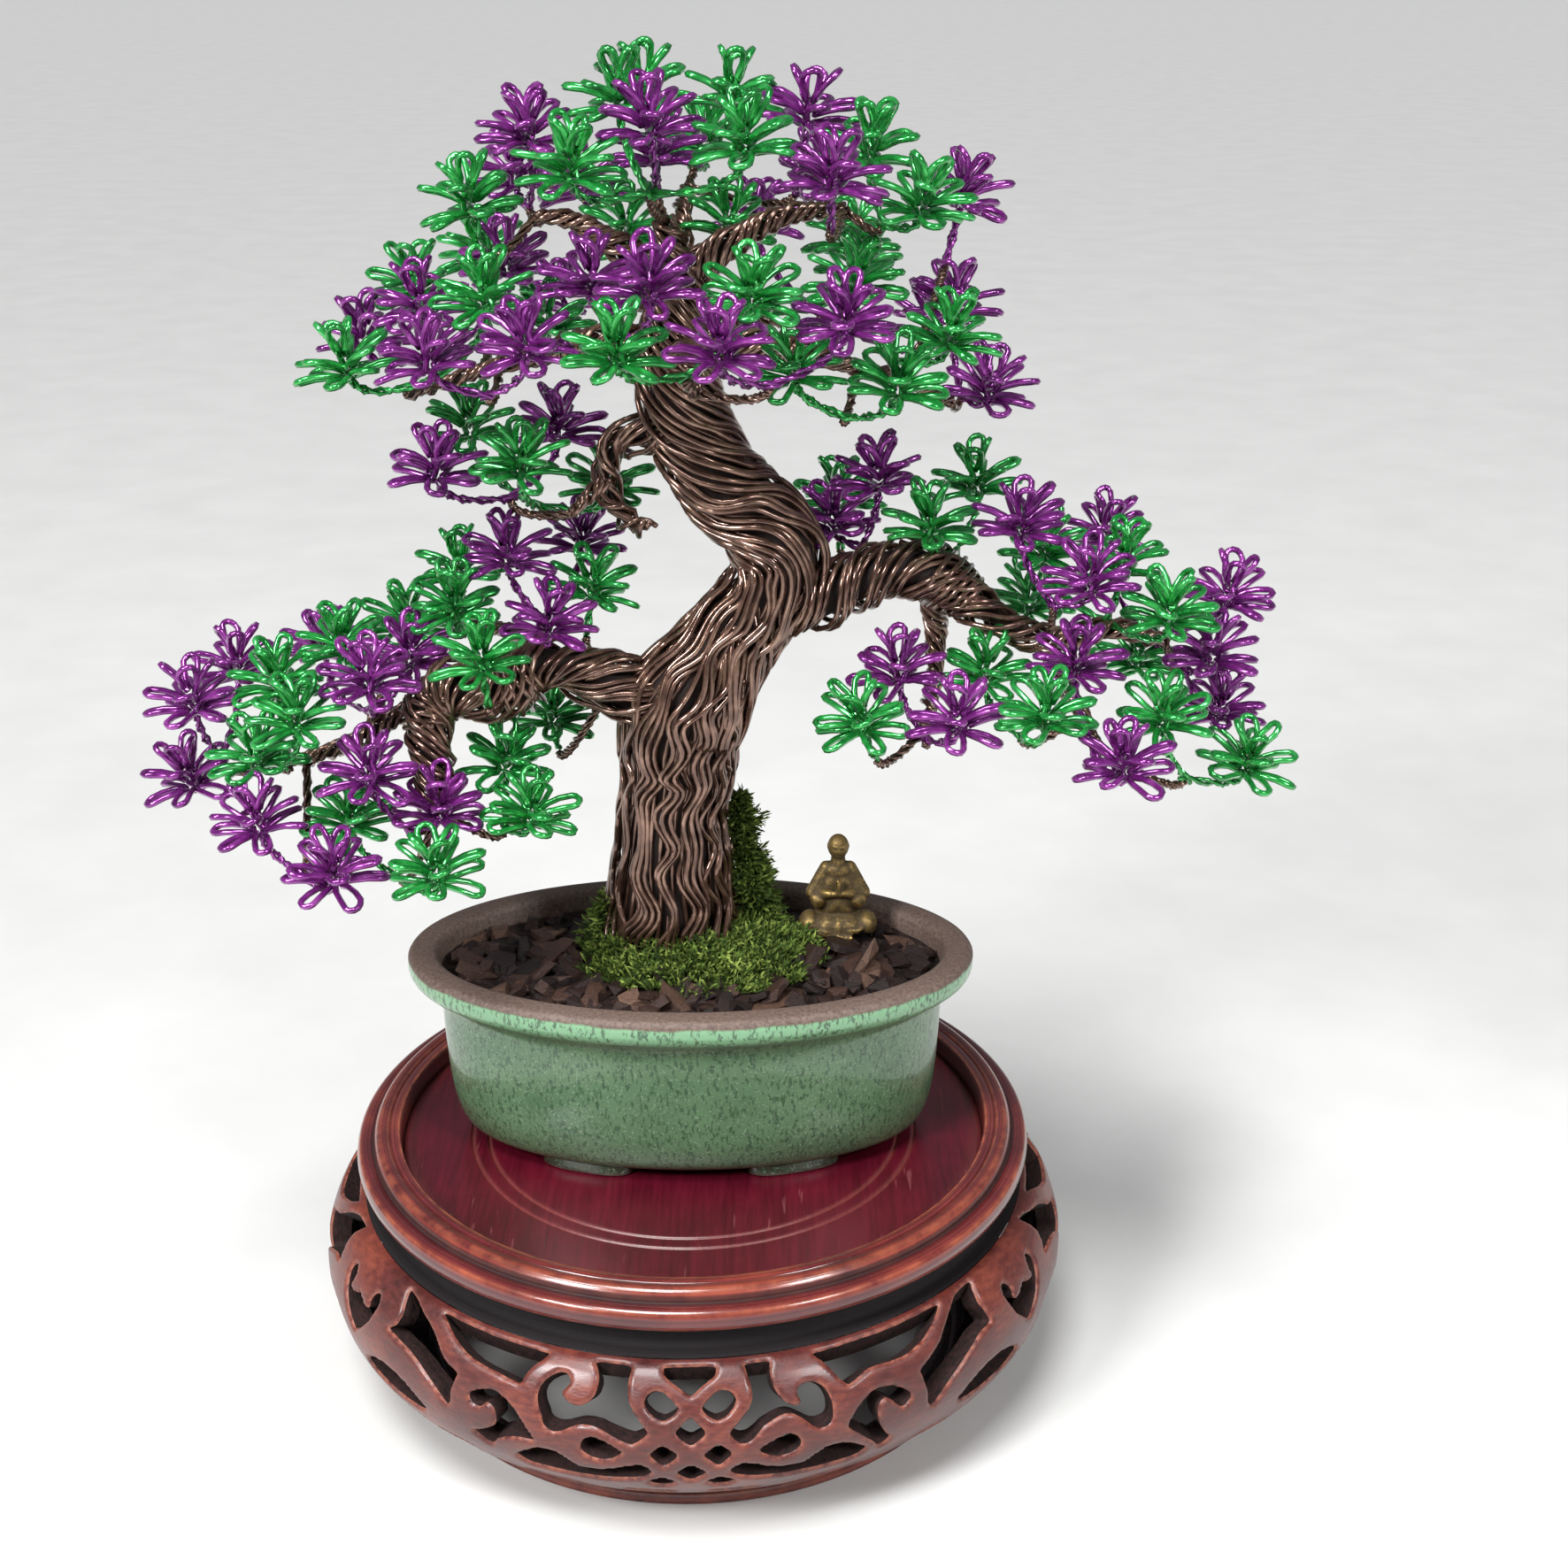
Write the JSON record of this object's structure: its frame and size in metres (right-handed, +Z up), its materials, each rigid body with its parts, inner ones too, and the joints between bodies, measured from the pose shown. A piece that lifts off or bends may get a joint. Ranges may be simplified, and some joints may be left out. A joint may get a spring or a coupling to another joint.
{
  "type": "wire bonsai tree on a stand",
  "caption": "Azalea bonsai sculpture bent from enamelled copper wire, with looped wire blooms, in an oval glazed pot on a round carved stand",
  "frame": {"origin": "centre of the bounding box at its bottom, on the surface that the stand stands on", "axes": "+Z up along the stand and trunk, -Y to the front of the pot, +X to the viewer's right"},
  "size_m": [0.2244, 0.1568, 0.2636],
  "materials": {
    "copper_wire": "brown enamelled copper wire, satin gloss",
    "green_wire": "bright green enamelled wire, glossy",
    "purple_wire": "purple enamelled wire, glossy",
    "moss": "dry preserved moss, matt",
    "bark": "dark bark chips, matt",
    "figure_brass": "aged cast brass with dark patina in the hollows",
    "pot_glaze": "speckled green glaze over brown clay, glossy",
    "stand_lacquer": "red-brown lacquer with worn orange edges",
    "panel_lacquer": "dark crimson lacquer, satin"
  },
  "bodies": {
    "root": {"stand_base_ring": "stand_lacquer", "stand_apron": "stand_lacquer", "stand_rim": "stand_lacquer", "stand_top_panel": "panel_lacquer", "pot": "pot_glaze", "bark_bed": "bark", "moss": "moss", "seated_figure": "figure_brass", "wire_tree": "copper_wire", "crown_top_front_green": "green_wire", "crown_top_back_green": "green_wire", "crown_right_high_green": "green_wire", "crown_left_high_green": "green_wire", "crown_inner_green": "green_wire", "crown_right_inner_green": "green_wire", "crown_top_left_purple": "purple_wire", "crown_top_middle_purple": "purple_wire", "crown_top_right_purple": "purple_wire", "crown_front_high_purple": "purple_wire", "crown_right_high_purple": "purple_wire", "crown_left_back_purple": "purple_wire", "crown_left_front_purple": "purple_wire", "crown_left_low_green": "green_wire", "crown_left_back_green": "green_wire", "crown_front_green": "green_wire", "crown_front_left_purple": "purple_wire", "crown_front_right_purple": "purple_wire", "crown_right_middle_green": "green_wire", "crown_right_low_green": "green_wire", "crown_right_low_purple": "purple_wire", "crown_back_green": "green_wire", "crown_back_left_purple": "purple_wire", "crown_back_right_purple": "purple_wire", "small_branch_green": "green_wire", "small_branch_purple": "purple_wire", "left_upper_purple": "purple_wire", "left_upper_green": "green_wire", "left_inner_green": "green_wire", "left_front_green": "green_wire", "left_back_green": "green_wire", "left_middle_purple": "purple_wire", "left_middle_green": "green_wire", "left_end_purple": "purple_wire", "left_end_green": "green_wire", "left_low_inner_purple": "purple_wire", "left_low_outer_purple": "purple_wire", "left_low_outer_green": "green_wire", "left_low_inner_green": "green_wire", "right_inner_green": "green_wire", "right_inner_purple": "purple_wire", "right_back_green": "green_wire", "right_middle_purple": "purple_wire", "right_middle_green": "green_wire", "right_end_purple": "purple_wire", "right_end_green": "green_wire", "right_low_inner_purple": "purple_wire", "right_low_inner_green": "green_wire", "right_low_front_green": "green_wire", "right_low_middle_green": "green_wire", "right_low_middle_purple": "purple_wire"}
  },
  "joints": []
}
